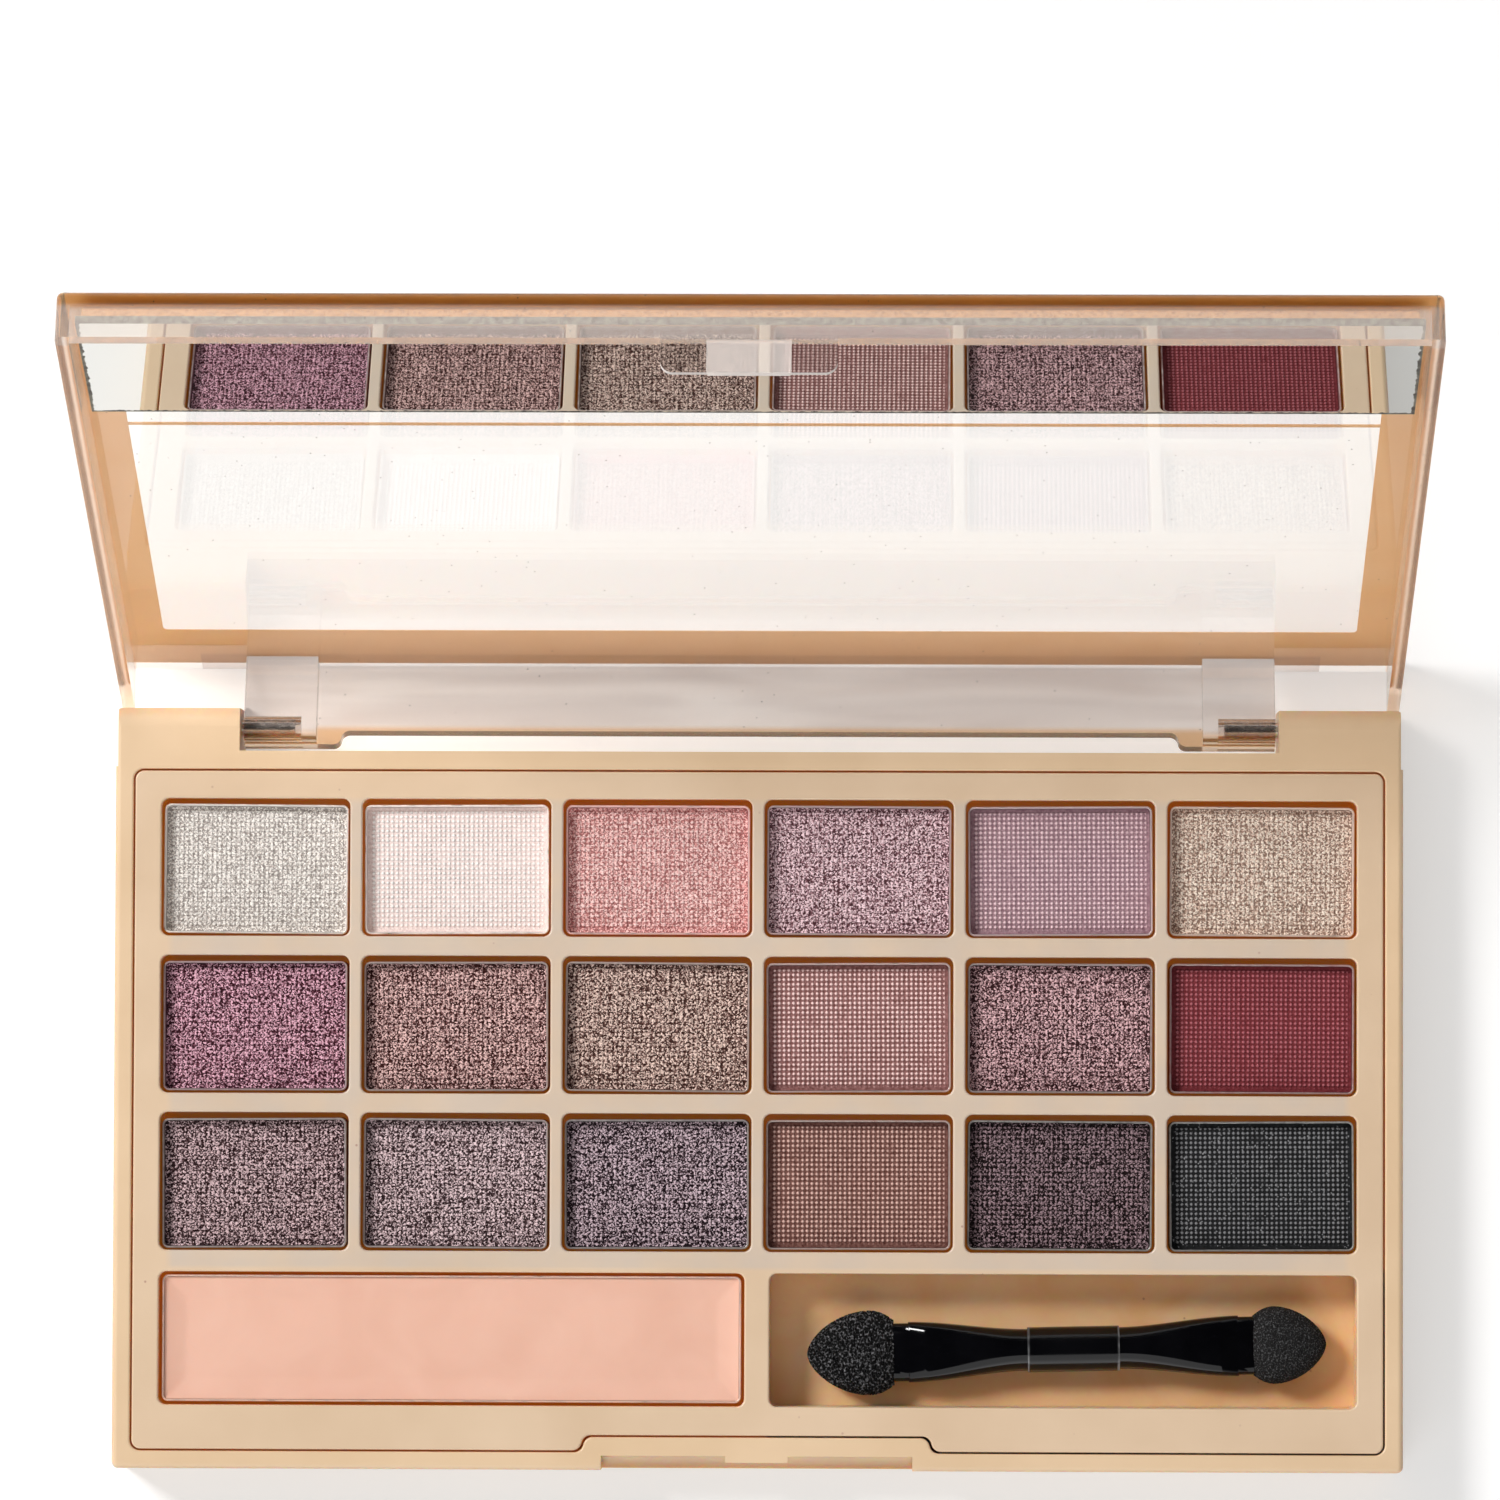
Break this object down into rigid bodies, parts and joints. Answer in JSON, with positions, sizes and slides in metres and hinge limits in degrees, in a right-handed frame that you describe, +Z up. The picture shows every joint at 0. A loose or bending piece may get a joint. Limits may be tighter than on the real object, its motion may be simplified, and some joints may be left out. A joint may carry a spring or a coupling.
{
  "type": "eyeshadow palette",
  "caption": "Hinged eyeshadow palette: tan base with rows of metal pans, a long cream pan and a loose sponge applicator, under a clear lid with a printed border and a mirror strip.",
  "frame": {"origin": "middle of the flat underside of the base", "axes": "+Z up, +X along the width to the right, +Y from the front latch toward the hinge"},
  "size_m": [0.16, 0.1389, 0.0901],
  "materials": {
    "base_plastic": "satin",
    "tray_plastic": "satin",
    "pan_metal": "satin",
    "shade_r1c1": "matte",
    "shade_r1c2": "matte",
    "shade_r1c3": "matte",
    "shade_r1c4": "matte",
    "shade_r1c5": "matte",
    "shade_r1c6": "matte",
    "shade_r2c1": "matte",
    "shade_r2c2": "matte",
    "shade_r2c3": "matte",
    "shade_r2c4": "matte",
    "shade_r2c5": "matte",
    "shade_r2c6": "matte",
    "shade_r3c1": "matte",
    "shade_r3c2": "matte",
    "shade_r3c3": "matte",
    "shade_r3c4": "matte",
    "shade_r3c5": "matte",
    "shade_r3c6": "matte",
    "cream": "matte",
    "pin_steel": "polished",
    "lid_clear": "gloss",
    "lid_film": "gloss",
    "mirror_glass": "mirror",
    "foam_tape": "matte",
    "sleeve_black": "gloss",
    "wand_black": "gloss",
    "sponge_coarse": "matte",
    "sponge_fine": "matte"
  },
  "bodies": {
    "base": {"base_shell": "base_plastic", "pan_tray": "tray_plastic", "pan_r1c1": "pan_metal", "pan_r1c2": "pan_metal", "pan_r1c3": "pan_metal", "pan_r1c4": "pan_metal", "pan_r1c5": "pan_metal", "pan_r1c6": "pan_metal", "pan_r2c1": "pan_metal", "pan_r2c2": "pan_metal", "pan_r2c3": "pan_metal", "pan_r2c4": "pan_metal", "pan_r2c5": "pan_metal", "pan_r2c6": "pan_metal", "pan_r3c1": "pan_metal", "pan_r3c2": "pan_metal", "pan_r3c3": "pan_metal", "pan_r3c4": "pan_metal", "pan_r3c5": "pan_metal", "pan_r3c6": "pan_metal", "powder_r1c1": "shade_r1c1", "powder_r1c2": "shade_r1c2", "powder_r1c3": "shade_r1c3", "powder_r1c4": "shade_r1c4", "powder_r1c5": "shade_r1c5", "powder_r1c6": "shade_r1c6", "powder_r2c1": "shade_r2c1", "powder_r2c2": "shade_r2c2", "powder_r2c3": "shade_r2c3", "powder_r2c4": "shade_r2c4", "powder_r2c5": "shade_r2c5", "powder_r2c6": "shade_r2c6", "powder_r3c1": "shade_r3c1", "powder_r3c2": "shade_r3c2", "powder_r3c3": "shade_r3c3", "powder_r3c4": "shade_r3c4", "powder_r3c5": "shade_r3c5", "powder_r3c6": "shade_r3c6", "primer_pan": "pan_metal", "primer_cream": "cream", "hinge_pin_left": "pin_steel", "hinge_pin_right": "pin_steel"},
    "lid": {"lid_shell": "lid_clear", "lid_print": "lid_film", "lid_mirror": "mirror_glass", "mirror_tape": "foam_tape"},
    "applicator": {"applicator_sleeve": "sleeve_black", "wand_left": "wand_black", "wand_right": "wand_black", "sponge_left": "sponge_coarse", "sponge_right": "sponge_fine"}
  },
  "joints": [
    {"name": "lid_hinge", "type": "hinge", "parent": "base", "child": "lid", "pos_m": [0, 0.04492, 0.00585], "axis": [1, 0, 0], "range_deg": [0, 114]},
    {"name": "applicator_lift", "type": "slide", "parent": "base", "child": "applicator", "axis": [0, 0, 1], "range_m": [0, 0.0026]}
  ]
}
